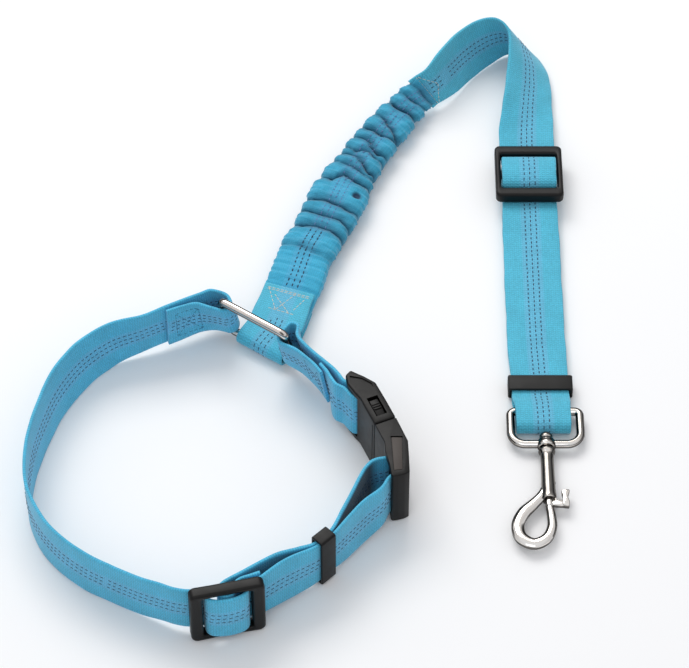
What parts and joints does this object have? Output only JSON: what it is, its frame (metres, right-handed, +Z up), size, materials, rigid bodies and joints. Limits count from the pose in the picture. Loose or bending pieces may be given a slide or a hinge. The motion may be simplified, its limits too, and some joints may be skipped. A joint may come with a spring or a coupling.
{
  "type": "elastic headrest leash",
  "caption": "Adjustable webbing loop with side-release buckle and steel ring, joined by a gathered elastic section to an adjustable webbing leash that ends in a swivel bolt snap.",
  "frame": {"origin": "middle of the laid-out leash's footprint, at the height of its lowest webbing edge, where it lies on a table", "axes": "+Z up from the table, +Y along the straight leash run away from the hook, +X from the loop towards the leash run"},
  "size_m": [0.232, 0.3304, 0.0307],
  "materials": {
    "webbing": "woven nylon webbing, matt",
    "elastic": "braided elastic, matt",
    "plastic": "moulded acetal, semi-gloss black",
    "chrome": "bright nickel plate",
    "spring_steel": "drawn spring wire"
  },
  "bodies": {
    "headrest_loop": {"connector_ring": "chrome", "connector_strap": "webbing", "buckle_socket": "plastic"},
    "plug": {"buckle_plug": "plastic", "loop_webbing": "webbing"},
    "arm_upper": {"latch_arm_upper": "plastic"},
    "arm_lower": {"latch_arm_lower": "plastic"},
    "loop_glide": {"loop_tri_glide": "plastic"},
    "loop_keeper_band": {"loop_keeper": "plastic"},
    "bungee_end": {"bungee_end_tab": "webbing", "bungee_sleeve": "webbing", "elastic_band": "elastic"},
    "leash": {"leash_webbing": "webbing"},
    "leash_glide": {"leash_tri_glide": "plastic"},
    "leash_keeper_band": {"leash_keeper": "plastic"},
    "bail": {"hook_bail": "chrome"},
    "hook": {"hook_body": "chrome", "bolt_spring": "spring_steel"},
    "bolt": {"hook_bolt": "chrome"}
  },
  "joints": [
    {"name": "buckle_plug_slide", "type": "slide", "parent": "headrest_loop", "child": "plug", "axis": [0.3969, -0.9178, 0], "range_m": [0, 0.014], "deforming": ["loop_webbing"]},
    {"name": "latch_arm_upper_flex", "type": "hinge", "parent": "plug", "child": "arm_upper", "pos_m": [0.033, -0.07852, 0.02301], "axis": [-0.9178, -0.3969, 0], "range_deg": [0, 15.2], "stiffness_Nm_per_rad": 0.05},
    {"name": "latch_arm_lower_flex", "type": "hinge", "parent": "plug", "child": "arm_lower", "pos_m": [0.033, -0.07852, 0.00761], "axis": [0.9178, 0.3969, 0], "range_deg": [0, 15.2], "stiffness_Nm_per_rad": 0.05},
    {"name": "loop_tri_glide_slide", "type": "slide", "parent": "plug", "child": "loop_glide", "axis": [0.975, 0.2222, 0], "range_m": [-0.01, 0.008]},
    {"name": "loop_keeper_slide", "type": "slide", "parent": "plug", "child": "loop_keeper_band", "axis": [0.7141, 0.7001, 0], "range_m": [-0.006, 0.006]},
    {"name": "leash_lift", "type": "hinge", "parent": "headrest_loop", "child": "bungee_end", "pos_m": [-0.0195, -0.01455, 0.00381], "axis": [0.8246, -0.5657, 0], "range_deg": [0, 60]},
    {"name": "bungee_stretch", "type": "slide", "parent": "bungee_end", "child": "leash", "axis": [0.4528, 0.8916, 0], "range_m": [0, 0.09], "stiffness_N_per_m": 60, "deforming": ["bungee_sleeve", "elastic_band"]},
    {"name": "leash_tri_glide_slide", "type": "slide", "parent": "leash", "child": "leash_glide", "axis": [0, -1, 0], "range_m": [-0.02, 0.045], "deforming": ["leash_webbing"]},
    {"name": "leash_keeper_slide", "type": "slide", "parent": "leash", "child": "leash_keeper_band", "axis": [0, -1, 0], "range_m": [-0.03, 0.004]},
    {"name": "bail_swing", "type": "hinge", "parent": "leash", "child": "bail", "pos_m": [0.0997, -0.05045, 0.00381], "axis": [1, 0, 0], "range_deg": [-80, 80]},
    {"name": "hook_swivel", "type": "hinge", "parent": "bail", "child": "hook", "pos_m": [0.0997, -0.07445, 0.00381], "axis": [0, 1, 0], "continuous": true},
    {"name": "bolt_slide", "type": "slide", "parent": "hook", "child": "bolt", "axis": [0, 1, 0], "range_m": [0, 0.007], "stiffness_N_per_m": 350, "springref_m": -0.006, "deforming": ["bolt_spring"]}
  ],
  "couplings": [
    {"joint": "latch_arm_upper_flex", "follows": "buckle_plug_slide", "rad_per_m": 18.7},
    {"joint": "latch_arm_lower_flex", "follows": "buckle_plug_slide", "rad_per_m": 18.7}
  ]
}
